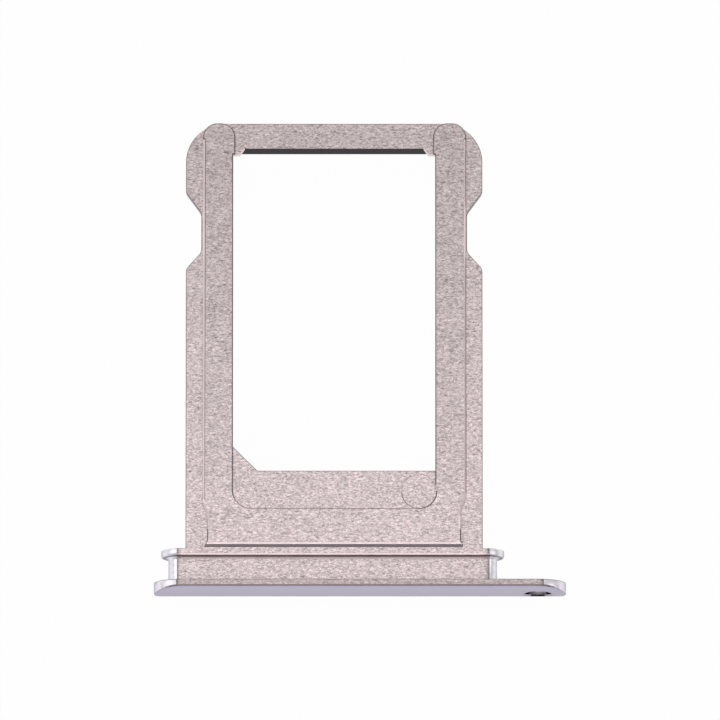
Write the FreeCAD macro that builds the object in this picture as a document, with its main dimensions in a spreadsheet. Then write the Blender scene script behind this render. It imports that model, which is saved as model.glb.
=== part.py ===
import FreeCAD, Part
import math
import os
import re
import Sketcher
from FreeCAD import Vector

# Nano card tray, one machined piece, seen here with its contact side up.
# X runs along the faceplate, Y from the faceplate into the device, Z up.
# While it is built, X = 0 is the middle line of the frame, Y = 0 the back of the
# faceplate and Z = 0 the mid-height of the faceplate. The placement at the end brings
# the origin to the middle of the underside of the whole tray.

doc = FreeCAD.newDocument("CardTray")

# Driving dimensions in millimetres
driving = {
    # the card: nano size, with its one cut corner
    "card_length": 12.30,
    "card_width": 8.80,
    "card_thickness": 0.67,
    "card_cut": 1.65,
    "card_play": 0.15,
    "card_sink": 0.14,
    "pocket_round": 0.80,
    # the frame round the card
    "pocket_start": 3.48,
    "neck_wall": 0.355,
    "far_bar": 0.92,
    "floor_thickness": 0.30,
    "wing_thickness": 0.40,
    "ear_round": 1.43,
    # the notch in each side, where the device's spring snaps in
    "notch_depth": 0.56,
    "notch_floor": 1.44,
    "notch_to_end": 3.31,
    "near_slope": 0.62,
    "far_slope": 0.76,
    "notch_round": 0.30,
    # the window that the contact springs reach through
    "side_ledge": 0.80,
    "near_ledge": 0.54,
    "window_cut": 0.89,
    "window_round": 0.12,
    "lip_depth": 0.24,
    "lip_reach": 0.25,
    "lip_slope": 0.17,
    # the raised rails and the raised block that joins them
    "rail_width": 1.11,
    "tip_flat": 0.02,
    "step_height": 0.12,
    "step_bevel": 0.055,
    "front_bevel": 0.10,
    "block_depth": 1.45,
    "block_inset": 0.18,
    "block_flare": 0.10,
    "flare_depth": 0.24,
    "flare_round": 0.16,
    "bend_start": 0.91,
    "bend_length": 0.93,
    "recess_round": 0.68,
    "relief_radius": 0.62,
    "relief_depth": 0.04,
    # the groove for the seal, and the flange behind it
    "seal_width": 0.915,
    "seal_depth": 0.26,
    "seal_round": 0.10,
    "flange_height": 1.56,
    "flange_thickness": 0.26,
    "flange_overhang": 0.835,
    "flange_shift": -0.05,
    # the faceplate, crowned to follow the side of the device
    "plate_lip": 0.24,
    "plate_overhang": 0.27,
    "rim_thickness": 0.26,
    "rim_round": 0.06,
    "crown": 0.17,
    # the hole for the eject pin, beside the flange
    "pin_diameter": 0.80,
    "pin_clearance": 0.10,
    "pin_bevel": 0.07,
    "pin_gap": 0.725,
    # how far a cutting shape stands past what it cuts
    "overrun": 0.50,
    "crown_overrun": 0.10,
}

# Sizes that follow from the driving ones
derived = {
    "pocket_half": "(card_width + card_play) / 2",
    "pocket_end": "pocket_start + card_length + card_play",
    "pocket_depth": "card_thickness + card_sink",
    "neck_half": "pocket_half + neck_wall",
    "frame_half": "neck_half + notch_depth",
    "frame_end": "pocket_end + far_bar",
    "frame_thickness": "pocket_depth + floor_thickness",
    "frame_top": "flange_height / 2",
    "frame_bottom": "frame_top - frame_thickness",
    "notch_end": "frame_end - notch_to_end",
    "notch_start": "notch_end - notch_floor",
    "window_half": "pocket_half - side_ledge",
    "window_start": "pocket_start + near_ledge",
    "rail_half": "window_half + rail_width",
    "rail_tip": "(rail_width - tip_flat) / 2",
    "flange_back": "seal_width + flange_thickness",
    "block_half": "rail_half - block_inset",
    "recess_start": "flange_back + block_depth",
    "bend_near": "flange_back + bend_start + bend_length / 4",
    "bend_far": "flange_back + bend_start + bend_length * 3 / 4",
    "flange_half": "frame_half + flange_overhang",
    "flange_length": "2 * flange_half",
    "core_length": "flange_length - 2 * seal_depth",
    "core_height": "flange_height - 2 * seal_depth",
    "plate_height": "flange_height + 2 * plate_lip",
    "plate_depth": "rim_thickness + crown",
    "pin_radius": "pin_diameter / 2 + pin_clearance",
    "pin_x": "flange_shift + flange_half + pin_gap + pin_radius",
    "plate_start": "flange_shift - flange_half - plate_overhang",
    "plate_end": "pin_x + plate_height / 2",
    "plate_length": "plate_end - plate_start",
    "plate_middle": "(plate_start + plate_end) / 2",
    "crown_radius": "(crown * crown + plate_height * plate_height / 4) / (2 * crown)",
}

sheet = doc.addObject("Spreadsheet::Sheet", "Size")
row = 0
for name, number in driving.items():
    row += 1
    sheet.set(f"A{row}", name)
    sheet.set(f"B{row}", str(number))
    sheet.setAlias(f"B{row}", name)
doc.recompute()
for name, formula in derived.items():
    row += 1
    sheet.set(f"A{row}", name)
    sheet.set(f"B{row}", "=" + formula)
    sheet.setAlias(f"B{row}", name)
    doc.recompute()

body = doc.addObject("PartDesign::Body", "Tray")
body.Label = "tray"


def full(expression):
    # every word in an expression is the name of a size in the sheet
    return re.sub(r"[a-z_]+", lambda word: "Size." + word.group(), expression)


def size(expression):
    return float(sheet.evalExpression(full(expression)))


def origin_plane(role):
    for feature in body.Origin.OriginFeatures:
        if feature.Role == role:
            return feature
    raise RuntimeError("no plane " + role)


def new_sketch(name, role, offset="0"):
    # offset is measured along the plane's own normal: +Z, -Y or +X
    sketch = body.newObject("Sketcher::SketchObject", name)
    sketch.AttachmentSupport = [(origin_plane(role), "")]
    sketch.MapMode = "FlatFace"
    sketch.setExpression("AttachmentOffset.Base.z", full(offset))
    doc.recompute()
    return sketch


def bind(sketch, constraint, name, expression):
    index = sketch.addConstraint(constraint)
    sketch.renameConstraint(index, name)
    sketch.setExpression("Constraints." + name, full(expression))


def fix_point(sketch, geometry, end, x, y, name):
    from_x = Sketcher.Constraint("DistanceX", -1, 1, geometry, end, size(x))
    from_y = Sketcher.Constraint("DistanceY", -1, 1, geometry, end, size(y))
    bind(sketch, from_x, name + "_x", x)
    bind(sketch, from_y, name + "_y", y)


def arc_between(centre, first, last):
    # the shorter arc round centre, and which of its ends lies at first
    start = math.atan2(first.y - centre.y, first.x - centre.x)
    stop = math.atan2(last.y - centre.y, last.x - centre.x)
    circle = Part.Circle(centre, Vector(0, 0, 1), (first - centre).Length)
    if (stop - start) % (2 * math.pi) < math.pi:
        return Part.ArcOfCircle(circle, start, stop), 1
    return Part.ArcOfCircle(circle, stop, start), 2


def outline(sketch, corners):
    # A closed outline of straight runs. Each corner is (x, y, radius), in names of
    # the sheet, and the radius is None where the corner is sharp.
    count = len(corners)
    points = [Vector(size(x), size(y), 0) for x, y, radius in corners]
    entry = []
    leave = []
    centres = []
    for place in range(count):
        point = points[place]
        back = (points[place - 1] - point).normalize()
        ahead = (points[(place + 1) % count] - point).normalize()
        radius = corners[place][2]
        reach = 0
        centre = point
        if radius:
            half_angle = back.getAngle(ahead) / 2
            reach = size(radius) / math.tan(half_angle)
            centre = point + (back + ahead).normalize() * (size(radius) / math.sin(half_angle))
        entry.append(point + back * reach)
        leave.append(point + ahead * reach)
        centres.append(centre)
    runs = []
    for place in range(count):
        run = Part.LineSegment(leave[place], entry[(place + 1) % count])
        runs.append(sketch.addGeometry(run, False))
    for place in range(count):
        x, y, radius = corners[place]
        before = runs[place - 1]
        after = runs[place]
        if not radius:
            sketch.addConstraint(Sketcher.Constraint("Coincident", before, 2, after, 1))
            fix_point(sketch, after, 1, x, y, f"corner_{place}")
            continue
        corner = sketch.addGeometry(Part.Point(points[place]), True)
        fix_point(sketch, corner, 1, x, y, f"corner_{place}")
        sketch.addConstraint(Sketcher.Constraint("PointOnObject", corner, 1, before))
        sketch.addConstraint(Sketcher.Constraint("PointOnObject", corner, 1, after))
        curve, first = arc_between(centres[place], entry[place], leave[place])
        arc = sketch.addGeometry(curve, False)
        sketch.addConstraint(Sketcher.Constraint("Tangent", before, 2, arc, first))
        sketch.addConstraint(Sketcher.Constraint("Tangent", after, 1, arc, 3 - first))
        rounding = Sketcher.Constraint("Radius", arc, size(radius))
        bind(sketch, rounding, f"corner_{place}_radius", radius)
    doc.recompute()


def stadium(sketch, middle, length, height):
    # a long shape with full-round ends, centred at height 0
    radius = size(height) / 2
    ends = []
    for side, sign, turn in (("left", "-", math.pi / 2), ("right", "+", -math.pi / 2)):
        x = f"{middle} {sign} ({length} - {height}) / 2"
        circle = Part.Circle(Vector(size(x), 0, 0), Vector(0, 0, 1), radius)
        arc = sketch.addGeometry(Part.ArcOfCircle(circle, turn, turn + math.pi), False)
        centre_x = Sketcher.Constraint("DistanceX", -1, 1, arc, 3, size(x))
        bind(sketch, centre_x, side + "_x", x)
        sketch.addConstraint(Sketcher.Constraint("PointOnObject", arc, 3, -1))
        ends.append(arc)
    left, right = ends
    low = Part.LineSegment(sketch.getPoint(left, 2), sketch.getPoint(right, 1))
    high = Part.LineSegment(sketch.getPoint(right, 2), sketch.getPoint(left, 1))
    low_run = sketch.addGeometry(low, False)
    high_run = sketch.addGeometry(high, False)
    sketch.addConstraint(Sketcher.Constraint("Tangent", left, 2, low_run, 1))
    sketch.addConstraint(Sketcher.Constraint("Tangent", low_run, 2, right, 1))
    sketch.addConstraint(Sketcher.Constraint("Tangent", right, 2, high_run, 1))
    sketch.addConstraint(Sketcher.Constraint("Tangent", high_run, 2, left, 1))
    sketch.addConstraint(Sketcher.Constraint("Equal", left, right))
    bind(sketch, Sketcher.Constraint("Radius", left, radius), "end_radius", f"{height} / 2")
    doc.recompute()


def circle(sketch, x, y, radius):
    ring = Part.Circle(Vector(size(x), size(y), 0), Vector(0, 0, 1), size(radius))
    geometry = sketch.addGeometry(ring, False)
    fix_point(sketch, geometry, 3, x, y, "centre")
    bind(sketch, Sketcher.Constraint("Radius", geometry, size(radius)), "ring_radius", radius)
    doc.recompute()


def pad(name, sketch, length, backwards=False):
    feature = body.newObject("PartDesign::Pad", name)
    feature.Profile = sketch
    feature.setExpression("Length", full(length))
    feature.Reversed = backwards
    doc.recompute()
    return feature


def pocket(name, sketch, depth, backwards=False, both_ways=False):
    volume = body.Shape.Volume
    feature = body.newObject("PartDesign::Pocket", name)
    feature.Profile = sketch
    feature.setExpression("Length", full(depth))
    feature.Reversed = backwards
    feature.Midplane = both_ways
    doc.recompute()
    if not body.Shape.Volume < volume:
        raise RuntimeError(name + " cuts nothing")
    return feature


def edges_where(base, wanted):
    names = []
    for number, edge in enumerate(base.Shape.Edges, start=1):
        if wanted(edge):
            names.append(f"Edge{number}")
    if not names:
        raise RuntimeError("no edge found on " + base.Name)
    return names


def dress(kind, name, amount, value, wanted):
    # kind is Fillet or Chamfer, and amount the name of its size property
    base = body.Tip
    feature = body.newObject("PartDesign::" + kind, name)
    feature.Base = (base, edges_where(base, wanted))
    feature.setExpression(amount, full(value))
    doc.recompute()
    return feature


close = 1e-4


def level(edge, axis, value):
    box = edge.BoundBox
    low = getattr(box, axis + "Min")
    high = getattr(box, axis + "Max")
    return abs(low - value) < close and abs(high - value) < close


# Faceplate: a stadium, then its outer face is crowned about an axis along X
plate_sketch = new_sketch("PlateSketch", "XZ_Plane")
stadium(plate_sketch, "plate_middle", "plate_length", "plate_height")
pad("Plate", plate_sketch, "plate_depth")

crown_sketch = new_sketch("CrownSketch", "YZ_Plane", "plate_middle")
crown_top = "(plate_height / 2 + crown_overrun)"
top_z = size(crown_top)
axis_y = size("crown_radius - plate_depth")
crown_edge = axis_y - math.sqrt(size("crown_radius") ** 2 - top_z ** 2)
outside = size("plate_depth + overrun")
top_point = Vector(crown_edge, top_z, 0)
low_point = Vector(crown_edge, -top_z, 0)
crown_curve, first_end = arc_between(Vector(axis_y, 0, 0), top_point, low_point)
crown_arc = crown_sketch.addGeometry(crown_curve, False)
far_top = Vector(-outside, top_z, 0)
far_low = Vector(-outside, -top_z, 0)
top_run = crown_sketch.addGeometry(Part.LineSegment(top_point, far_top), False)
side_run = crown_sketch.addGeometry(Part.LineSegment(far_top, far_low), False)
low_run = crown_sketch.addGeometry(Part.LineSegment(far_low, low_point), False)
crown_sketch.addConstraint([
    Sketcher.Constraint("Coincident", crown_arc, first_end, top_run, 1),
    Sketcher.Constraint("Coincident", top_run, 2, side_run, 1),
    Sketcher.Constraint("Coincident", side_run, 2, low_run, 1),
    Sketcher.Constraint("Coincident", low_run, 2, crown_arc, 3 - first_end),
    Sketcher.Constraint("Horizontal", top_run),
    Sketcher.Constraint("Vertical", side_run),
    Sketcher.Constraint("Horizontal", low_run),
    Sketcher.Constraint("PointOnObject", crown_arc, 3, -1),
])
crown_radius = Sketcher.Constraint("Radius", crown_arc, size("crown_radius"))
bind(crown_sketch, crown_radius, "crown_radius", "crown_radius")
axis_place = Sketcher.Constraint("DistanceX", -1, 1, crown_arc, 3, axis_y)
bind(crown_sketch, axis_place, "axis_y", "crown_radius - plate_depth")
top_place = Sketcher.Constraint("DistanceY", -1, 1, top_run, 1, top_z)
bind(crown_sketch, top_place, "top_z", crown_top)
low_place = Sketcher.Constraint("DistanceY", -1, 1, low_run, 2, -top_z)
bind(crown_sketch, low_place, "low_z", "-" + crown_top)
outside_place = Sketcher.Constraint("DistanceX", -1, 1, side_run, 1, -outside)
bind(crown_sketch, outside_place, "outside_y", "-(plate_depth + overrun)")
doc.recompute()
pocket("Crown", crown_sketch, "plate_length + overrun", both_ways=True)
dress("Fillet", "PlateRim", "Radius", "rim_round", lambda edge: edge.BoundBox.YMax < -close)

# Core of the seal groove, and the flange behind it
core_sketch = new_sketch("CoreSketch", "XZ_Plane")
stadium(core_sketch, "flange_shift", "core_length", "core_height")
pad("Core", core_sketch, "flange_back", backwards=True)

flange_sketch = new_sketch("FlangeSketch", "XZ_Plane", "-seal_width")
stadium(flange_sketch, "flange_shift", "flange_length", "flange_height")
pad("Flange", flange_sketch, "flange_thickness", backwards=True)


def groove_foot(edge):
    core = size("core_height") / 2 + close
    low = abs(edge.BoundBox.ZMin) < core and abs(edge.BoundBox.ZMax) < core
    return low and (level(edge, "Y", 0) or level(edge, "Y", size("seal_width")))


dress("Fillet", "GrooveFoot", "Radius", "seal_round", groove_foot)

# Frame, with its notches and the rounded ears at the far end
frame_sketch = new_sketch("FrameSketch", "XY_Plane", "frame_bottom")
outline(frame_sketch, [
    ("-frame_half", "seal_width", None),
    ("frame_half", "seal_width", None),
    ("frame_half", "notch_start - near_slope", "notch_round"),
    ("neck_half", "notch_start", "notch_round"),
    ("neck_half", "notch_end", "notch_round"),
    ("frame_half", "notch_end + far_slope", "notch_round"),
    ("frame_half", "frame_end", "ear_round"),
    ("-frame_half", "frame_end", "ear_round"),
    ("-frame_half", "notch_end + far_slope", "notch_round"),
    ("-neck_half", "notch_end", "notch_round"),
    ("-neck_half", "notch_start", "notch_round"),
    ("-frame_half", "notch_start - near_slope", "notch_round"),
])
pad("Frame", frame_sketch, "frame_thickness")

# The wings that slide in the device are thinner than the neck between them
for side, sign in (("Left", "-"), ("Right", "")):
    wing_sketch = new_sketch(side + "WingSketch", "XY_Plane", "frame_bottom")
    outline(wing_sketch, [
        (sign + "neck_half", "flange_back", None),
        (sign + "(frame_half + overrun)", "flange_back", None),
        (sign + "(frame_half + overrun)", "frame_end + overrun", None),
        (sign + "neck_half", "frame_end + overrun", None),
    ])
    pocket(side + "Wing", wing_sketch, "frame_thickness - wing_thickness", backwards=True)

# Raised rails and block, as one U that flares towards the flange. Its top edge is
# bevelled all round, more so along the front, where the block drops to the flange.
raised_sketch = new_sketch("RaisedSketch", "XY_Plane", "frame_bottom")
outline(raised_sketch, [
    ("-block_half - block_flare", "flange_back", None),
    ("block_half + block_flare", "flange_back", None),
    ("block_half", "flange_back + flare_depth", "flare_round"),
    ("block_half", "bend_near", "bend_length"),
    ("rail_half", "bend_far", "bend_length"),
    ("rail_half", "frame_end", "rail_tip"),
    ("window_half", "frame_end", "rail_tip"),
    ("window_half", "recess_start", "relief_radius"),
    ("-window_half", "recess_start", "recess_round"),
    ("-window_half", "frame_end", "rail_tip"),
    ("-rail_half", "frame_end", "rail_tip"),
    ("-rail_half", "bend_far", "bend_length"),
    ("-block_half", "bend_near", "bend_length"),
    ("-block_half", "flange_back + flare_depth", "flare_round"),
])
pad("Raised", raised_sketch, "frame_thickness + step_height")
raised_top = size("frame_top + step_height")
block_front = size("flange_back")
block_top_front = size("flange_back + front_bevel")


def front_edge(edge):
    return level(edge, "Z", raised_top) and level(edge, "Y", block_front)


def other_top_edge(edge):
    return level(edge, "Z", raised_top) and not level(edge, "Y", block_top_front)


dress("Chamfer", "BlockFront", "Size", "front_bevel", front_edge)
dress("Chamfer", "Step", "Size", "step_bevel", other_top_edge)

# Round relief in the corner of the recess, a little deeper than its floor
relief_sketch = new_sketch("ReliefSketch", "XY_Plane", "frame_top")
circle(relief_sketch, "window_half - relief_radius", "recess_start + relief_radius", "relief_radius")
pocket("Relief", relief_sketch, "relief_depth")

# Window right through, with one cut corner and a small lip in each far corner
window_sketch = new_sketch("WindowSketch", "XY_Plane", "frame_top + step_height")
outline(window_sketch, [
    ("-window_half + window_cut", "window_start", "window_round"),
    ("window_half", "window_start", None),
    ("window_half", "pocket_end - lip_depth", None),
    ("window_half - lip_reach", "pocket_end - lip_depth", None),
    ("window_half - lip_reach - lip_slope", "pocket_end", None),
    ("-window_half + lip_reach + lip_slope", "pocket_end", None),
    ("-window_half + lip_reach", "pocket_end - lip_depth", None),
    ("-window_half", "pocket_end - lip_depth", None),
    ("-window_half", "window_start + window_cut", None),
])
pocket("Window", window_sketch, "frame_thickness + step_height + overrun")

# Card pocket, sunk from the underside up to the floor layer
pocket_sketch = new_sketch("PocketSketch", "XY_Plane", "frame_bottom")
outline(pocket_sketch, [
    ("-pocket_half + card_cut", "pocket_start", None),
    ("pocket_half", "pocket_start", "pocket_round"),
    ("pocket_half", "pocket_end", "pocket_round"),
    ("-pocket_half", "pocket_end", "pocket_round"),
    ("-pocket_half", "pocket_start + card_cut", None),
])
pocket("CardPocket", pocket_sketch, "pocket_depth", backwards=True)

# Hole for the eject pin, right through the faceplate, bevelled at its mouth
pin_sketch = new_sketch("PinSketch", "XZ_Plane")
circle(pin_sketch, "pin_x", "0", "pin_radius")
pocket("PinHole", pin_sketch, "2 * (plate_depth + overrun)", both_ways=True)


def pin_mouth(edge):
    box = edge.BoundBox
    round_hole = abs(box.XLength - 2 * size("pin_radius")) < close
    return round_hole and box.YMax < -close and abs(box.Center.x - size("pin_x")) < close


dress("Chamfer", "PinMouth", "Size", "pin_bevel", pin_mouth)

# The origin comes to the middle of the underside of the box round the tray
body.setExpression("Placement.Base.x", full("-plate_middle"))
body.setExpression("Placement.Base.y", full("-(frame_end - plate_depth) / 2"))
body.setExpression("Placement.Base.z", full("plate_height / 2"))
doc.recompute()

for item in doc.Objects:
    if "Invalid" in item.State or "Error" in item.State:
        raise RuntimeError(f"{item.Name} failed: {item.State}")
shape = body.Shape
if shape.isNull() or not shape.isValid() or len(shape.Solids) != 1:
    raise RuntimeError("tray is not one sound solid")

os.makedirs("parts", exist_ok=True)
shape.exportStep("parts/tray.step")
box = shape.BoundBox
print(f"tray {box.XLength:.3f} x {box.YLength:.3f} x {box.ZLength:.3f} mm")
print(f"volume {shape.Volume:.3f} mm3, {len(shape.Faces)} faces")
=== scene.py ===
from math import cos, degrees, hypot, pi, radians, sin, sqrt, tan

import bmesh
import bpy
from mathutils import Matrix, Vector


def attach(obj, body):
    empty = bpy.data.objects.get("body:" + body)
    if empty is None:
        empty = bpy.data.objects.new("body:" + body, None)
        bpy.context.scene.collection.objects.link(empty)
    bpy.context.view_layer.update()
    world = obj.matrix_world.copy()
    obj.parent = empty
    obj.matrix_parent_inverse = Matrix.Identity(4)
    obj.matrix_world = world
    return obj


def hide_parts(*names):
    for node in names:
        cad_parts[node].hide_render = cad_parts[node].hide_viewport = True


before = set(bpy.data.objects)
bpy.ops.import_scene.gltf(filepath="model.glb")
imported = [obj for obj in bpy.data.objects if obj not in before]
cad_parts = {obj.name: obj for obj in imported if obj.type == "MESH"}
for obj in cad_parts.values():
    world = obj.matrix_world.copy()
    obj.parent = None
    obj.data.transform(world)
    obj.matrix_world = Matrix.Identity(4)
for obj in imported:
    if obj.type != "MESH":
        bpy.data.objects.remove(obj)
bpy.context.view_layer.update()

mm = 0.001
pixelsPerMm = 27.5
imageWidth = 720

scene = bpy.context.scene
scene.view_settings.view_transform = "Standard"

# camera: a long lens, almost straight down on the contact side
cameraView = {
    "azimuth": 0.0,
    "elevation": 79.5,
    "lens": 1200.0,
    "sensor": 36.0,
    "clip": (0.01, 20.0),
    "target": (0.0025 * mm, 0.04 * mm, 1.02 * mm),
}


def makeCamera(settings):
    widthSeen = imageWidth / pixelsPerMm * mm
    distance = widthSeen * settings["lens"] / settings["sensor"]
    azimuth = radians(settings["azimuth"])
    elevation = radians(settings["elevation"])
    back = Vector((sin(azimuth) * cos(elevation), -cos(azimuth) * cos(elevation), sin(elevation)))
    data = bpy.data.cameras.new("camera")
    data.type = "PERSP"
    data.lens = settings["lens"]
    data.sensor_width = settings["sensor"]
    data.clip_start, data.clip_end = settings["clip"]
    camera = bpy.data.objects.new("camera", data)
    scene.collection.objects.link(camera)
    camera.location = Vector(settings["target"]) + back * distance
    camera.rotation_euler = (-back).to_track_quat("-Z", "Y").to_euler()
    scene.camera = camera


makeCamera(cameraView)
print("camera placed")

# studio: soft lamps, a pale world and a white floor
studio = {
    "worldLevel": 0.58,
    "worldTilt": (-0.1, 0.36, 0.0),
    "worldColour": (0.98, 0.98, 1.0),
    "floorRadius": 1.5,
    "floorColour": (0.9, 0.9, 0.9),
    "floorRoughness": 0.9,
    "floorSheen": 0.1,
    "floorGlow": 0.97,
    "lamps": {
        "overhead": {"place": (0.0, 0.01, 0.12), "size": 0.12, "glow": 0.52},
        "front": {"place": (0.0, -0.14, 0.2), "size": 0.1, "glow": 2.6},
        "left": {"place": (-0.25, 0.03, 0.18), "size": 0.22, "glow": 0.75},
        "right": {"place": (0.26, -0.03, 0.17), "size": 0.2, "glow": 0.85},
    },
}


def newMaterial(name):
    material = bpy.data.materials.new(name)
    material.use_nodes = True
    return material, material.node_tree, material.node_tree.nodes["Principled BSDF"]


def calc(tree, operation, *values):
    # one Math node, fed by sockets or plain numbers
    node = tree.nodes.new("ShaderNodeMath")
    node.operation = operation
    for socket, value in zip(node.inputs, values):
        if isinstance(value, bpy.types.NodeSocket):
            tree.links.new(value, socket)
        else:
            socket.default_value = value
    return node.outputs["Value"]


def makeWorld(settings):
    # a little brighter behind and to the left, as a room with one large window is
    world = bpy.data.worlds.new("studioWorld")
    world.use_nodes = True
    tree = world.node_tree
    place = tree.nodes.new("ShaderNodeTexCoord")
    lean = tree.nodes.new("ShaderNodeVectorMath")
    lean.operation = "DOT_PRODUCT"
    lean.inputs[1].default_value = settings["worldTilt"]
    tree.links.new(place.outputs["Generated"], lean.inputs[0])
    level = calc(tree, "ADD", lean.outputs["Value"], settings["worldLevel"])
    sky = tree.nodes["Background"]
    sky.inputs["Color"].default_value = (*settings["worldColour"], 1)
    tree.links.new(level, sky.inputs["Strength"])
    scene.world = world


def makeLamp(name, settings):
    data = bpy.data.lights.new(name, "AREA")
    data.shape = "DISK"
    data.size = settings["size"]
    data.energy = settings["glow"] * pi * pi * settings["size"] ** 2 / 4
    lamp = bpy.data.objects.new(name, data)
    scene.collection.objects.link(lamp)
    lamp.location = settings["place"]
    lamp.rotation_euler = (-Vector(settings["place"])).to_track_quat("-Z", "Y").to_euler()
    lamp.visible_camera = False


def floorMaterial(settings):
    # white to the lens and to the metal, with part of the real floor left for the shadow
    material, tree, paper = newMaterial("floorPaper")
    paper.inputs["Base Color"].default_value = (*settings["floorColour"], 1)
    paper.inputs["Roughness"].default_value = settings["floorRoughness"]
    paper.inputs["Specular IOR Level"].default_value = settings["floorSheen"]
    glow = tree.nodes.new("ShaderNodeEmission")
    glow.inputs["Color"].default_value = (1, 1, 1, 1)
    glow.inputs["Strength"].default_value = 1.0
    path = tree.nodes.new("ShaderNodeLightPath")
    seen = calc(tree, "MAXIMUM", path.outputs["Is Camera Ray"], path.outputs["Is Glossy Ray"])
    seen = calc(tree, "MAXIMUM", seen, path.outputs["Is Transmission Ray"])
    share = calc(tree, "MULTIPLY", seen, settings["floorGlow"])
    mix = tree.nodes.new("ShaderNodeMixShader")
    tree.links.new(share, mix.inputs["Fac"])
    tree.links.new(paper.outputs["BSDF"], mix.inputs[1])
    tree.links.new(glow.outputs["Emission"], mix.inputs[2])
    tree.links.new(mix.outputs["Shader"], tree.nodes["Material Output"].inputs["Surface"])
    return material


def makeFloor(settings):
    shape = bmesh.new()
    bmesh.ops.create_circle(shape, cap_ends=True, segments=96, radius=settings["floorRadius"])
    mesh = bpy.data.meshes.new("floor")
    shape.to_mesh(mesh)
    shape.free()
    mesh.materials.append(floorMaterial(settings))
    floor = bpy.data.objects.new("floor", mesh)
    scene.collection.objects.link(floor)


makeWorld(studio)
for lampName, lampSettings in studio["lamps"].items():
    makeLamp(lampName, lampSettings)
makeFloor(studio)
print("studio ready")

# the tray, in millimetres from the frame's middle line, the faceplate's back and its mid-height
trayPiece = {
    "place": (-0.9375, -8.21, 1.02),
    "plate": {"from": -6.545, "to": 8.42, "height": 2.04, "depth": 0.43, "crown": 0.17, "rim": 0.06},
    "core": {"from": -6.015, "to": 5.915, "height": 1.04, "foot": 0.1, "overlap": 0.1},
    "flange": {"from": -6.275, "to": 6.175, "height": 1.56, "near": 0.915, "far": 1.175, "rim": 0.065},
    # right half of the outline as x, y and rounding, from the door to the far end
    "frame": [
        (5.39, 1.04, 0), (5.39, 11.48, 0.3), (4.83, 12.1, 0.3), (4.83, 13.54, 0.3),
        (5.39, 14.3, 0.3), (5.39, 16.85, 1.43),
    ],
    "frameLevels": (-0.33, 0.78),
    # the two rails and the block between them, round the U
    "rightRail": [
        (4.705, 1.195, 0), (4.605, 1.44, 0.16), (4.605, 2.54, 0.93), (4.8, 3.01, 0.93),
        (4.8, 16.85, 0.52), (3.6, 16.85, 0.52), (3.6, 15.69, 0), (3.675, 15.69, 0),
        (3.675, 2.625, 0.62),
    ],
    "leftRail": [
        (-3.675, 2.625, 0.68), (-3.675, 15.69, 0), (-3.6, 15.69, 0), (-3.6, 16.85, 0.52),
        (-4.77, 16.85, 0.52), (-4.77, 2.7825, 0.93), (-4.605, 2.3175, 0.93),
        (-4.605, 1.44, 0.16), (-4.735, 1.195, 0),
    ],
    "railTop": 0.9,
    "railBevel": 0.04,
    "slopeWidth": 0.08,
    "slopeEnds": (1.9, 16.25),
    "slopeLine": 0.025,
    "lineFrom": 10.0,
    "frontBevel": 0.132,
    "frontHeight": 0.128,
    "frontBreak": 0.035,
    "wingsUnder": 0.38,
    "wingCut": {"from": 1.0, "to": 18.0, "reach": 2.0},
    "relief": {
        "x": 3.067, "y": 3.263, "radius": 0.64, "floor": 0.72, "flare": 0.045, "foot": 0.035, "facets": 72,
    },
    # whole outlines of what is cut out
    "window": [
        (3.675, 4.02, 0), (3.675, 15.69, 0), (3.425, 15.69, 0), (3.255, 15.93, 0),
        (-3.255, 15.93, 0), (-3.425, 15.69, 0), (-3.675, 15.69, 0), (-3.675, 4.91, 0),
        (-2.785, 4.02, 0.12),
    ],
    "pocket": [
        (4.475, 3.48, 0.8), (4.475, 15.93, 0.8), (-4.475, 15.93, 0.8), (-4.475, 5.13, 0),
        (-2.825, 3.48, 0),
    ],
    "pocketCeiling": 0.48,
    "cutterReach": 1.0,
    "pinHole": {"x": 7.4, "radius": 0.5, "bevel": 0.07, "ring": 0.105, "ringStep": 0.003, "facets": 64},
    "farEdge": {"from": 16.8, "longerThan": 3.0, "cuts": 30},
    "degreesPerFacet": 4.5,
    "edgeBreak": 0.026,
    "breakFrom": 50.0,
    "sharpFrom": 30.0,
    "weldWithin": 0.0008,
    "flatWithin": 0.1,
    "touching": 0.001,
}


def near(value, goal):
    return abs(value - goal) < trayPiece["touching"]


def bevelEdges(shape, edges, offset, segments):
    bmesh.ops.bevel(
        shape, geom=edges, offset=offset, offset_type="OFFSET", affect="EDGES", segments=segments,
        profile=0.5, material=-1, clamp_overlap=False,
    )


def rounded(shape, corners, level):
    # one flat face from a few corners, each rounded by a vertex bevel
    points = [shape.verts.new((x, y, level)) for x, y, radius in corners]
    shape.faces.new(points)
    for index, (x, y, radius) in enumerate(corners):
        if not radius:
            continue
        here = Vector((x, y))
        back = Vector(corners[index - 1][:2]) - here
        ahead = Vector(corners[(index + 1) % len(corners)][:2]) - here
        halfAngle = back.angle(ahead) / 2
        facets = max(2, round((180 - degrees(2 * halfAngle)) / trayPiece["degreesPerFacet"]))
        bmesh.ops.bevel(
            shape, geom=[points[index]], offset=radius / tan(halfAngle), offset_type="OFFSET",
            affect="VERTICES", segments=facets, profile=0.5, material=-1, clamp_overlap=False,
        )


def slab(corners, low, high):
    shape = bmesh.new()
    rounded(shape, corners, low)
    grown = bmesh.ops.extrude_face_region(shape, geom=shape.faces[:])
    top = [item for item in grown["geom"] if isinstance(item, bmesh.types.BMVert)]
    bmesh.ops.translate(shape, vec=(0, 0, high - low), verts=top)
    bmesh.ops.recalc_face_normals(shape, faces=shape.faces)
    return shape


def bothSides(half):
    return half + [(-x, y, radius) for x, y, radius in reversed(half)]


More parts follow.
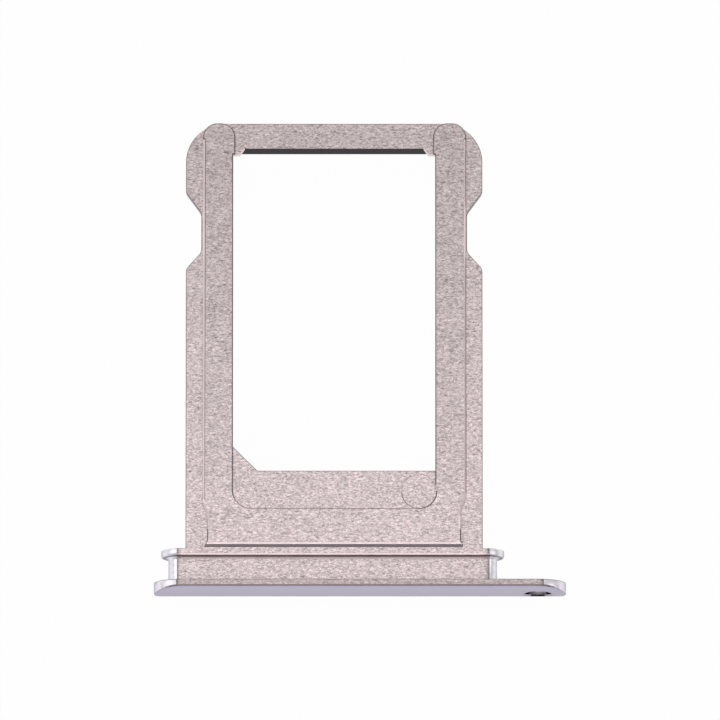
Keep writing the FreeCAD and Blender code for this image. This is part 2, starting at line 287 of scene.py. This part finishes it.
def longRound(left, right, height, nearY, farY):
    # a bar with full-round ends, laid along X and turned so that its thickness runs along Y
    halfHeight = height / 2
    radius = halfHeight * 0.9999  # a hair less, so that neighbouring corners don't meet
    shape = slab(
        [(left, -halfHeight, radius), (right, -halfHeight, radius),
         (right, halfHeight, radius), (left, halfHeight, radius)],
        -farY, -nearY,
    )
    bmesh.ops.remove_doubles(shape, verts=shape.verts, dist=0.001)
    bmesh.ops.rotate(shape, cent=(0, 0, 0), matrix=Matrix.Rotation(radians(90), 3, "X"), verts=shape.verts)
    return shape


def crownDrop(plate, height):
    # how far the faceplate's front falls back at a height from its middle
    crown = plate["crown"]
    reach = plate["height"] / 2
    radius = (crown * crown + reach * reach) / (2 * crown)
    return radius - sqrt(radius * radius - min(abs(height), reach) ** 2)


def makeFaceplate(plate):
    # cut into strips first, so that its front can follow the crown
    shape = longRound(plate["from"], plate["to"], plate["height"], -plate["depth"], 0)
    front = min(shape.faces, key=lambda face: face.calc_center_median().y)
    levels = sorted({round(vert.co.z, 5) for vert in front.verts})
    for level in levels[1:-1]:
        strips = [face for face in shape.faces if face.normal.y < -0.99]
        edges = dict.fromkeys(edge for face in strips for edge in face.edges)
        verts = dict.fromkeys(vert for face in strips for vert in face.verts)
        bmesh.ops.bisect_plane(
            shape, geom=strips + list(edges) + list(verts), dist=0.0001,
            plane_co=(0, 0, level), plane_no=(0, 0, 1),
        )
    for vert in shape.verts:
        if vert.co.y < -plate["depth"] / 2:
            vert.co.y += crownDrop(plate, vert.co.z)
    shape.normal_update()
    rim = [edge for edge in shape.edges
           if edge.calc_face_angle(0) > radians(45) and all(vert.co.y < -0.1 for vert in edge.verts)]
    bevelEdges(shape, rim, plate["rim"], 4)
    return shape


def makeRails(settings):
    # the raised U: a slope outside the rails, a deep bevel in front and a fine one elsewhere
    top = settings["railTop"]
    shape = slab(settings["rightRail"] + settings["leftRail"], settings["frameLevels"][0], top)
    front = settings["rightRail"][0][1]
    outside = settings["rightRail"][1][0] - 0.02
    slope = settings["slopeWidth"]

    def bevelTop(wanted, offset):
        edges = [edge for edge in shape.edges
                 if all(near(vert.co.z, top) and wanted(vert.co) for vert in edge.verts)]
        bevelEdges(shape, edges, offset, 1)
        shape.normal_update()

    # in front
    bevelTop(lambda spot: near(spot.y, front), settings["frontBevel"])
    for vert in shape.verts:
        if near(vert.co.z, top - settings["frontBevel"]):
            vert.co.z = top - settings["frontHeight"]
    back = front + settings["frontBevel"]
    bevelTop(lambda spot: near(spot.y, back), settings["frontBreak"])
    back += settings["frontBreak"]
    # outside, with a fine line above the left slope and one below the right slope
    start, stop = settings["slopeEnds"]
    for level in (start, stop):
        bmesh.ops.bisect_plane(
            shape, geom=shape.verts[:] + shape.edges[:] + shape.faces[:], dist=0.0001,
            plane_co=(0, level, 0), plane_no=(0, 1, 0),
        )
    bevelTop(lambda spot: abs(spot.x) > outside and start - 0.001 < spot.y < stop + 0.001, slope)
    leftLine = (settings["leftRail"][4][0] + slope, top)
    rightLine = (settings["rightRail"][4][0], top - slope)
    lines = []
    for lineX, lineZ in (leftLine, rightLine):
        lines += [edge for edge in shape.edges if edge.calc_length() > settings["lineFrom"]
                  and all(near(vert.co.x, lineX) and near(vert.co.z, lineZ) for vert in edge.verts)]
    print("rail lines:", len(lines))
    bevelEdges(shape, lines, settings["slopeLine"], 1)
    shape.normal_update()
    # the rest of the top
    rest = [edge for edge in shape.edges
            if all(near(vert.co.z, top) for vert in edge.verts)
            and not all(near(vert.co.y, back) for vert in edge.verts)
            and sorted(round(face.normal.z, 2) for face in edge.link_faces) == [0, 1]]
    bevelEdges(shape, rest, settings["railBevel"], 1)
    bmesh.ops.recalc_face_normals(shape, faces=shape.faces)
    return shape


def growRings(shape, rings, spread, grow):
    # carries the one end face on through the rings, each given as its radius and its depth
    shape.faces.ensure_lookup_table()
    face = shape.faces[0]
    for step, (radius, depth) in enumerate(rings):
        grown = bmesh.ops.extrude_face_region(shape, geom=[face])
        if step:
            bmesh.ops.delete(shape, geom=[face], context="FACES_ONLY")
        face = next(item for item in grown["geom"] if isinstance(item, bmesh.types.BMFace))
        grow(face, radius / spread, depth)
        spread = radius


def makePinCutter(hole, plate):
    # a round bar that flares where it leaves the crowned front
    shape = bmesh.new()
    radius = hole["radius"]
    bevel = hole["bevel"]
    depth = plate["depth"]
    bmesh.ops.create_circle(shape, cap_ends=True, segments=hole["facets"], radius=radius)
    bmesh.ops.rotate(shape, cent=(0, 0, 0), matrix=Matrix.Rotation(radians(90), 3, "X"), verts=shape.verts)
    bmesh.ops.translate(shape, vec=(0, depth, 0), verts=shape.verts)

    def grow(face, scale, y):
        bmesh.ops.scale(shape, vec=(scale, 1, scale), verts=face.verts)
        for vert in face.verts:
            vert.co.y = y + crownDrop(plate, vert.co.z)

    rings = [(radius - hole["ringStep"], hole["ring"] - depth), (radius, bevel - depth),
             (radius + 2 * bevel, -bevel - depth)]
    growRings(shape, rings, radius, grow)
    bmesh.ops.translate(shape, vec=(hole["x"], 0, 0), verts=shape.verts)
    bmesh.ops.recalc_face_normals(shape, faces=shape.faces)
    return shape


def makeReliefCutter(relief, top):
    # a round bar with a worn foot, that flares towards the rails' top
    shape = bmesh.new()
    radius = relief["radius"]
    foot = relief["foot"]
    flare = relief["flare"]
    bmesh.ops.create_circle(shape, cap_ends=True, segments=relief["facets"], radius=radius - foot)
    bmesh.ops.translate(shape, vec=(0, 0, relief["floor"]), verts=shape.verts)

    def grow(face, scale, z):
        bmesh.ops.scale(shape, vec=(scale, scale, 1), verts=face.verts)
        for vert in face.verts:
            vert.co.z = z

    rings = [(radius, relief["floor"] + foot / 2), (radius, top - flare), (radius + 2 * flare, top + flare)]
    growRings(shape, rings, radius - foot, grow)
    bmesh.ops.translate(shape, vec=(relief["x"], relief["y"], 0), verts=shape.verts)
    bmesh.ops.recalc_face_normals(shape, faces=shape.faces)
    return shape


sortDigits = 5


def inOrder(shape):
    # the same shape with its points and faces sorted, because bmesh orders them anew in each run
    spots = [vert.co.to_tuple() for vert in shape.verts]
    coarse = [vert.co.to_tuple(sortDigits) for vert in shape.verts]
    order = sorted(range(len(spots)), key=lambda index: (coarse[index], spots[index]))
    places = {old: new for new, old in enumerate(order)}
    shape.verts.index_update()
    faces = [[places[vert.index] for vert in face.verts] for face in shape.faces]
    shape.free()
    mesh = bpy.data.meshes.new("ordered")
    mesh.from_pydata([spots[index] for index in order], [], sorted(faces, key=sorted))
    ordered = bmesh.new()
    ordered.from_mesh(mesh)
    bpy.data.meshes.remove(mesh)
    return ordered


def asMesh(shape, name):
    mesh = bpy.data.meshes.new(name)
    shape.to_mesh(mesh)
    shape.free()
    return mesh


def asObject(shape, name):
    piece = bpy.data.objects.new(name, asMesh(inOrder(shape), name))
    scene.collection.objects.link(piece)
    return piece


def carve(base, shape, operation):
    # an exact union or cut that is kept at once, and its tool taken away
    tool = asObject(shape, "tool")
    change = base.modifiers.new("carve", "BOOLEAN")
    change.operation = operation
    change.solver = "EXACT"
    change.object = tool
    seen = bpy.context.evaluated_depsgraph_get()
    result = bmesh.new()
    result.from_mesh(base.evaluated_get(seen).data)
    base.modifiers.clear()
    base.data = asMesh(inOrder(result), "simTray")
    bpy.data.objects.remove(tool)


def tidied(piece, settings):
    # doubles merged, flat faces joined, and normals set outwards
    shape = bmesh.new()
    shape.from_mesh(piece.data)
    bmesh.ops.remove_doubles(shape, verts=shape.verts, dist=settings["weldWithin"])
    bmesh.ops.dissolve_degenerate(shape, dist=settings["weldWithin"], edges=shape.edges)
    bmesh.ops.dissolve_limit(
        shape, angle_limit=radians(settings["flatWithin"]), verts=shape.verts, edges=shape.edges,
        use_dissolve_boundaries=False,
    )
    loose = [edge for edge in shape.edges if not edge.link_faces]
    bmesh.ops.delete(shape, geom=loose, context="EDGES")
    bmesh.ops.recalc_face_normals(shape, faces=shape.faces)
    return inOrder(shape)


def crowded(edge, settings):
    # the few places where another edge is too near for this one to be broken
    middle = (edge.verts[0].co + edge.verts[1].co) / 2
    hole = settings["pinHole"]
    relief = settings["relief"]
    neck = settings["frame"][2][0]
    endX, endY, _ = settings["frame"][-1]
    fromHole = hypot(middle.x - hole["x"], middle.z)
    fromRelief = hypot(middle.x - relief["x"], middle.y - relief["y"])
    atMouth = middle.y < -0.1 and fromHole < hole["radius"] + 0.2
    atRelief = middle.z > 0 and fromRelief < relief["radius"] + 0.08
    atNeck = abs(middle.z - settings["wingsUnder"]) < 0.01 and abs(middle.x) < neck + 0.1
    underTop = middle.z < settings["frameLevels"][1] + 0.01
    atTip = underTop and middle.y > endY - 0.6 and 3.7 < abs(middle.x) < 5.0
    return atMouth or atRelief or atNeck or atTip


def holeFinish(middle, normal, settings):
    # the pin hole: painted shade at the bottom near the mouth and at the sides, bare metal between
    hole = settings["pinHole"]
    across = hypot(middle.x - hole["x"], middle.z)
    if middle.y < 0 and across < hole["radius"] + 0.01:
        nearMouth = middle.y < hole["ring"] - settings["plate"]["depth"]
        bottom = middle.z < -0.86 * hole["radius"]
        side = middle.z > -0.75 * hole["radius"]
        return "paintedShadeWall" if side or (bottom and nearMouth) else "bore"
    if middle.y < -0.1 and across < hole["radius"] + hole["bevel"] and normal.y > -0.95:
        return "paintedShadeWall" if middle.z < -0.88 * across else "plateFront"


def doorFinish(middle, normal, settings):
    # the faceplate, the seal groove and the flange, with bare round ends; painted shade on the groove's wall
    # and foot, on the flange's front rim and on the faceplate's rim, and a painted highlight on the flange
    # rim's top edge
    core = settings["core"]
    flange = settings["flange"]
    if middle.y < -0.01 and normal.y < -0.5:
        return "plateFront"
    if middle.y < 0.01 and abs(normal.y) < 0.9:
        atRim = normal.y > 0.2 or (normal.y < -0.1 and normal.z > 0.8)
        return "dullEdge" if atRim else "plateEdge"
    straight = core["from"] + 0.3 < middle.x < core["to"] - 0.26
    if flange["near"] - core["foot"] < middle.y < flange["near"] + 0.005 and normal.y < -0.1:
        return "darkStep" if straight else "blasted"
    if middle.y < flange["far"]:
        onRim = middle.y <= flange["near"] + flange["rim"] and normal.y <= -0.2 and normal.z >= 0.2
        if not straight or not onRim:
            return "blasted"
        return "brightEdge" if normal.z > 0.8 else "darkStep"


def railFinish(middle, normal, settings):
    # the relief, then the bevels and slopes round the top of the raised U; painted highlights on the relief's
    # wall that faces the door, the front break, the flare and the slopes, painted shade on the relief's
    # lower-left foot, the front riser and the other bevels
    relief = settings["relief"]
    top = settings["frameLevels"][1]
    rail = settings["rightRail"]
    fromRelief = hypot(middle.x - relief["x"], middle.y - relief["y"])
    if middle.z < top and fromRelief < relief["radius"] + 0.01:
        nearLeft = middle.x < relief["x"] - 0.15 and middle.y < relief["y"] - 0.05
        atFoot = fromRelief > relief["radius"] - relief["foot"] and normal.z > 0.3
        if atFoot and nearLeft:
            return "dullEdge"
        return "brightEdge" if normal.y < -0.2 and abs(normal.z) < 0.3 else "blasted"
    if middle.z > top + 0.002 and normal.z < 0.98:
        frontEnd = rail[0][1] + settings["frontBevel"] + settings["frontBreak"]
        if middle.y < frontEnd and normal.y < -0.2:
            return "brightEdge" if normal.z > 0.8 else "darkStep"
        if fromRelief < relief["radius"] + relief["flare"] and middle.y > relief["y"]:
            return "brightEdge"
        start, stop = settings["slopeEnds"]
        onSlope = 0.69 < normal.z < 0.72 or (normal.z > 0.5 and start < middle.y < start + 0.5)
        if abs(middle.x) > rail[1][0] - settings["slopeWidth"] and onSlope:
            return "brightEdge" if start < middle.y < stop else "dullEdge"
        ledgeEdge = normal.y > 0.3 and middle.y < settings["window"][0][1]
        return "blasted" if ledgeEdge and middle.x < relief["x"] - 0.3 else "dullEdge"


def windowFinish(middle, normal, settings):
    # the lips at the far corners in painted highlight, the walls of window and pocket in painted shade, and
    # the frame's upper edges in painted shade
    top = settings["frameLevels"][1]
    nearX, nearY, _ = settings["pocket"][0]
    farY = settings["pocket"][1][1]
    lipX = settings["window"][3][0]
    lipY = settings["window"][1][1]
    atLip = lipY - 0.01 < middle.y < farY - 0.01 and lipX < abs(middle.x) < nearX
    if atLip and abs(normal.z) < 0.95 and middle.z > 0:
        return "brightEdge"
    within = abs(middle.x) < nearX + 0.02 and nearY - 0.02 < middle.y < farY + 0.02
    # painted shade on the walls of window and pocket
    if within and abs(normal.z) < 0.3 and middle.z < top - 0.02:
        return "paintedShadeWall"
    # painted shade on the frame's upper bevels
    if middle.z > top - 0.03 and 0.1 < normal.z < 0.98 and (normal.y > 0.15 or abs(normal.x) > 0.3):
        return "dullEdge"


# the finishes in the order of their material slots
finishOrder = ["blasted", "plateEdge", "plateFront", "paintedShadeWall", "darkStep", "brightEdge", "bore", "dullEdge"]


def finishOf(face, settings):
    # the first region that claims the face decides, and the rest is blasted
    middle = face.calc_center_median()
    for region in (holeFinish, doorFinish, railFinish, windowFinish):
        finish = region(middle, face.normal, settings)
        if finish:
            return finish
    return "blasted"


def makeFrame(settings):
    # the frame with its raised U, its thin wings, the relief, the window and the pocket
    low, top = settings["frameLevels"]
    railTop = settings["railTop"]
    reach = settings["cutterReach"]
    frameBody = asObject(slab(bothSides(settings["frame"]), low, top), "simTray")
    carve(frameBody, makeRails(settings), "UNION")
    neck = settings["frame"][2][0]
    wing = settings["wingCut"]
    for side in (-1, 1):
        inner = side * neck
        outer = side * (neck + wing["reach"])
        corners = [(inner, wing["from"], 0), (outer, wing["from"], 0),
                   (outer, wing["to"], 0), (inner, wing["to"], 0)]
        carve(frameBody, slab(corners, low - reach, settings["wingsUnder"]), "DIFFERENCE")
    carve(frameBody, makeReliefCutter(settings["relief"], railTop), "DIFFERENCE")
    carve(frameBody, slab(settings["window"], low - reach, railTop + reach), "DIFFERENCE")
    carve(frameBody, slab(settings["pocket"], low - reach, settings["pocketCeiling"]), "DIFFERENCE")
    print("frame carved:", len(frameBody.data.polygons))
    return frameBody


def addDoorEnd(tray, settings):
    # the flange, the core of the seal groove and the faceplate with its pin hole
    flange = settings["flange"]
    core = settings["core"]
    plate = settings["plate"]
    seal = longRound(flange["from"], flange["to"], flange["height"], flange["near"], flange["far"])
    rim = [edge for edge in seal.edges if all(near(vert.co.y, flange["near"]) for vert in edge.verts)]
    bevelEdges(seal, rim, flange["rim"], 2)
    carve(tray, seal, "UNION")
    coreEnds = (-core["overlap"], flange["near"] + core["overlap"])
    carve(tray, longRound(core["from"], core["to"], core["height"], *coreEnds), "UNION")
    carve(tray, makeFaceplate(plate), "UNION")
    carve(tray, makePinCutter(settings["pinHole"], plate), "DIFFERENCE")
    print("faceplate joined:", len(tray.data.polygons))


def roundFoot(shape, settings):
    # a small radius where the core of the groove meets the faceplate and the flange
    core = settings["core"]
    foot = []
    for edge in shape.edges:
        flat = any(all(near(vert.co.y, y) for vert in edge.verts) for y in (0, settings["flange"]["near"]))
        inside = all(abs(vert.co.z) < core["height"] / 2 + settings["touching"] for vert in edge.verts)
        hollow = edge.is_manifold and not edge.is_convex
        if flat and inside and hollow and edge.calc_face_angle() > radians(60):
            foot.append(edge)
    print("groove foot edges:", len(foot))
    bevelEdges(shape, foot, core["foot"], 4)
    return inOrder(shape)


def breakEdges(shape, settings):
    # the long far edge is cut into short ones first
    top = settings["frameLevels"][1]
    farEdge = settings["farEdge"]
    long = [edge for edge in shape.edges if edge.calc_length() > farEdge["longerThan"]
            and all(near(vert.co.z, top) and vert.co.y > farEdge["from"] for vert in edge.verts)]
    bmesh.ops.subdivide_edges(shape, edges=long, cuts=farEdge["cuts"])
    shape = inOrder(shape)
    broken = [edge for edge in shape.edges
              if edge.is_manifold and edge.is_convex
              and edge.calc_face_angle() > radians(settings["breakFrom"])
              and not crowded(edge, settings)]
    print("edges broken:", len(broken))
    bevelEdges(shape, broken, settings["edgeBreak"], 2)
    return inOrder(shape)


def makeTray(settings):
    tray = makeFrame(settings)
    addDoorEnd(tray, settings)
    shape = tidied(tray, settings)
    shape = breakEdges(roundFoot(shape, settings), settings)
    shape.normal_update()
    for face in shape.faces:
        face.smooth = True
        face.material_index = finishOrder.index(finishOf(face, settings))
    for edge in shape.edges:
        if edge.is_manifold and edge.calc_face_angle() > radians(settings["sharpFrom"]):
            edge.smooth = False
    bmesh.ops.translate(shape, vec=settings["place"], verts=shape.verts)
    bmesh.ops.scale(shape, vec=(mm, mm, mm), verts=shape.verts)
    tray.data = asMesh(shape, "simTray")
    steady = tray.modifiers.new("flatFacesStayFlat", "WEIGHTED_NORMAL")
    steady.keep_sharp = True
    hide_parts("tray")
    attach(tray, "root")
    return tray


# finishes: colours as linear light, lengths in millimetres
finishes = {
    "blasted": {
        "name": "blastedMetal",
        "colour": (0.65, 0.555, 0.55),
        "roughness": 0.42,
        "grazing": (0.5, 0.5, 0.56),
        # painted shade for the light's falloff towards the far end
        "farShade": 0.8,
        "railShade": 0.94,
        "ends": (-6.655, 4.715),
    },
    "plateEdge": {
        "name": "plateEdgeMetal",
        "colour": (0.5, 0.425, 0.42),
        "roughness": 0.42,
        "grazing": (0.5, 0.5, 0.56),
        "farShade": 1.0,
        "railShade": 1.0,
        "ends": (-6.675, 6.68),
    },
    "plateFront": {
        "name": "lavenderFront",
        "colour": (0.46, 0.43, 0.52), "roughness": 0.5, "grazing": 1.0,
        # painted shade at the bottom of the front and painted light at the top
        "low": 0.8, "high": 1.21, "contrast": 0.12,
    },
    # painted shade: near black for the walls of window, pocket and pin hole, silver metal that lies in shade
    "paintedShadeWall": {
        "name": "darkInnerWall",
        "colour": (0.035, 0.028, 0.036), "roughness": 0.45, "grazing": 0.5,
        "low": 1.0, "high": 1.0, "contrast": 0.5,
    },
    # painted shade: darker for the steps that face the door, the groove's wall and foot and the flange's
    # front rim
    "darkStep": {
        "name": "darkStep",
        "colour": (0.5, 0.42, 0.425), "roughness": 0.4, "grazing": 0.45,
        "low": 1.0, "high": 1.0, "contrast": 0.4,
    },
    # painted highlight: a brighter colour for edges, slopes and lips that catch the light
    "brightEdge": {
        "name": "brightEdge",
        "colour": (0.86, 0.73, 0.725), "roughness": 0.4, "grazing": 0.9,
        "low": 1.0, "high": 1.0, "contrast": 0.25,
    },
    "bore": {
        "name": "smoothBore",
        "colour": (0.6, 0.57, 0.62), "roughness": 0.3, "grazing": 1.0,
        "low": 1.0, "high": 1.0, "contrast": 0.1,
    },
    # painted shade: a dark colour for thin edge lines, bevels and rims that lie in shade
    "dullEdge": {
        "name": "dullEdge",
        "colour": (0.27, 0.225, 0.23), "roughness": 0.45, "grazing": 0.5,
        "low": 1.0, "high": 1.0, "contrast": 0.3,
    },
}

# the blasted grain, and where it fades or stops
blasting = {
    "strokes": {"perMm": 19.0, "stretch": 0.5, "detail": 0.5, "swirl": 1.0},
    "strokeContrast": 1.75,
    "fine": {"perMm": 36.0, "stretch": 0.8, "detail": 1.0, "swirl": 0.5},
    "fineContrast": 0.8,
    "blotches": {"perMm": 0.9},
    "blotchContrast": 0.12,
    "glossSpread": 0.3,
    "fineHeight": 0.4,
    "height": 0.012,
    "strength": 0.2,
    "farPaintedFalloffY": (-5.0, 8.0),
    "railFadeZ": (1.88, 1.9),
    "railFadeY": (-6.0, -3.5),
    "endFade": 0.02,
    # painted shade: a dark band where the flats turn into the round ends
    "paintedShadeStripe": {"shade": 0.42, "from": 0.035, "width": 0.085},
    "bareEnd": {
        "colour": (0.83, 0.8, 0.85), "roughness": 0.3,
        "streaks": {"perMm": 9.0, "stretch": 0.12, "detail": 1.0}, "streakContrast": 0.45,
    },
}

# the faint grain of the plain finishes
plainGrain = {
    "fine": {"perMm": 14.0, "stretch": 0.6, "detail": 2.0, "swirl": 0.3},
    "broad": {"perMm": 0.7},
    "paintedLightRise": (0.2, 2.0),
    "glossSpread": 0.2,
    "height": 0.004,
    "strength": 0.1,
}


def between(tree, value, low, high):
    # 0 below low, 1 above high, and a straight run between, with both in millimetres
    node = tree.nodes.new("ShaderNodeMapRange")
    tree.links.new(value, node.inputs["Value"])
    node.inputs["From Min"].default_value = low * mm
    node.inputs["From Max"].default_value = high * mm
    return node.outputs["Result"]


def noise(tree, place, perMm, stretch=1.0, detail=2.0, swirl=0.0):
    # values round 0, on the object's own coordinates, drawn out along X where stretch is below 1
    spread = tree.nodes.new("ShaderNodeMapping")
    perMetre = perMm / mm
    spread.inputs["Scale"].default_value = (perMetre * stretch, perMetre, perMetre)
    tree.links.new(place, spread.inputs["Vector"])
    pattern = tree.nodes.new("ShaderNodeTexNoise")
    pattern.inputs["Scale"].default_value = 1.0
    pattern.inputs["Detail"].default_value = detail
    pattern.inputs["Roughness"].default_value = 0.55
    pattern.inputs["Distortion"].default_value = swirl
    tree.links.new(spread.outputs["Vector"], pattern.inputs["Vector"])
    return calc(tree, "SUBTRACT", pattern.outputs["Fac"], 0.5)


def placeOf(tree):
    # the object's own coordinates, whole and as separate axes
    place = tree.nodes.new("ShaderNodeTexCoord").outputs["Object"]
    axes = tree.nodes.new("ShaderNodeSeparateXYZ")
    tree.links.new(place, axes.inputs[0])
    return place, axes.outputs


def tinted(tree, colour, shade):
    node = tree.nodes.new("ShaderNodeVectorMath")
    node.operation = "SCALE"
    node.inputs[0].default_value = colour
    tree.links.new(shade, node.inputs["Scale"])
    return node.outputs["Vector"]


def addBump(tree, metal, height, grain):
    bump = tree.nodes.new("ShaderNodeBump")
    bump.inputs["Strength"].default_value = grain["strength"]
    bump.inputs["Distance"].default_value = grain["height"] * mm
    tree.links.new(height, bump.inputs["Height"])
    tree.links.new(bump.outputs["Normal"], metal.inputs["Normal"])


def blastedMaterial(look):
    # wavy blasted grain on the flats, a stripe of painted shade where they turn, then bare smooth metal round
    # the ends
    material, tree, metal = newMaterial(look["name"])
    grain = blasting
    paintedShadeStripe = grain["paintedShadeStripe"]
    bare = grain["bareEnd"]
    place, axes = placeOf(tree)

    strokes = noise(tree, place, **grain["strokes"])
    fine = noise(tree, place, **grain["fine"])
    blotches = noise(tree, place, **grain["blotches"])
    shade = calc(tree, "MULTIPLY_ADD", strokes, grain["strokeContrast"], 1.0)
    shade = calc(tree, "MULTIPLY_ADD", fine, grain["fineContrast"], shade)
    shade = calc(tree, "MULTIPLY_ADD", blotches, grain["blotchContrast"], shade)

    # painted shade: darker towards the end that slides in first, where the light falls off, and darker on the
    # rails' tops
    reach = between(tree, axes["Y"], *grain["farPaintedFalloffY"])
    onRail = calc(tree, "MULTIPLY", between(tree, axes["Z"], *grain["railFadeZ"]),
                  between(tree, axes["Y"], *grain["railFadeY"]))
    for amount, dull in ((reach, look["farShade"]), (onRail, look["railShade"])):
        shade = calc(tree, "MULTIPLY", shade, calc(tree, "MULTIPLY_ADD", amount, dull - 1, 1.0))

    left, right = look["ends"]
    fromLeft = calc(tree, "SUBTRACT", axes["X"], left * mm)
    fromRight = calc(tree, "SUBTRACT", right * mm, axes["X"])
    inside = calc(tree, "MINIMUM", fromLeft, fromRight)
    flat = between(tree, inside, 0.0, grain["endFade"])
    # the band of painted shade, a little inside each end
    away = calc(tree, "ABSOLUTE", calc(tree, "SUBTRACT", inside, paintedShadeStripe["from"] * mm))
    clear = between(tree, away, 0.0, paintedShadeStripe["width"])
    shade = calc(tree, "MULTIPLY", shade,
                 calc(tree, "MULTIPLY_ADD", clear, 1 - paintedShadeStripe["shade"], paintedShadeStripe["shade"]))

    mix = tree.nodes.new("ShaderNodeMix")
    mix.data_type = "RGBA"
    tree.links.new(flat, mix.inputs["Factor"])
    bareSide, blastedSide = [socket for socket in mix.inputs if socket.type == "RGBA"]
    streaks = calc(tree, "MULTIPLY_ADD", noise(tree, place, **bare["streaks"]), bare["streakContrast"], 1.0)
    tree.links.new(tinted(tree, bare["colour"], streaks), bareSide)
    tree.links.new(tinted(tree, look["colour"], shade), blastedSide)
    result = next(socket for socket in mix.outputs if socket.type == "RGBA")
    tree.links.new(result, metal.inputs["Base Color"])

    gloss = calc(tree, "MULTIPLY_ADD", fine, grain["glossSpread"], look["roughness"] - bare["roughness"])
    gloss = calc(tree, "MULTIPLY_ADD", gloss, flat, bare["roughness"])
    tree.links.new(gloss, metal.inputs["Roughness"])
    metal.inputs["Metallic"].default_value = 1.0
    metal.inputs["Specular Tint"].default_value = (*look["grazing"], 1)

    height = calc(tree, "ADD", strokes, calc(tree, "MULTIPLY", fine, grain["fineHeight"]))
    addBump(tree, metal, calc(tree, "MULTIPLY", height, flat), grain)
    return material


def plainMaterial(look):
    # an even finish with a faint fine grain, and painted light and shade that rise with height where low and
    # high differ
    material, tree, metal = newMaterial(look["name"])
    place, axes = placeOf(tree)
    fine = noise(tree, place, **plainGrain["fine"])
    broad = noise(tree, place, **plainGrain["broad"])
    shade = calc(tree, "MULTIPLY_ADD", fine, look["contrast"], 1.0)
    shade = calc(tree, "MULTIPLY_ADD", broad, look["contrast"] / 2, shade)
    # painted light and shade: the colour grows with height from low to high
    paintedLightRise = between(tree, axes["Z"], *plainGrain["paintedLightRise"])
    paintedLightRise = calc(tree, "MULTIPLY_ADD", paintedLightRise, look["high"] - look["low"], look["low"])
    shade = calc(tree, "MULTIPLY", shade, paintedLightRise)
    tree.links.new(tinted(tree, look["colour"], shade), metal.inputs["Base Color"])
    gloss = calc(tree, "MULTIPLY_ADD", fine, plainGrain["glossSpread"], look["roughness"])
    tree.links.new(gloss, metal.inputs["Roughness"])
    metal.inputs["Metallic"].default_value = 1.0
    grazing = look["grazing"]
    metal.inputs["Specular Tint"].default_value = (grazing, grazing, grazing, 1)
    addBump(tree, metal, fine, plainGrain)
    return material


tray = makeTray(trayPiece)
print("tray modelled")
for finish in finishOrder:
    makeMaterial = blastedMaterial if "ends" in finishes[finish] else plainMaterial
    tray.data.materials.append(makeMaterial(finishes[finish]))
print("finishes made")
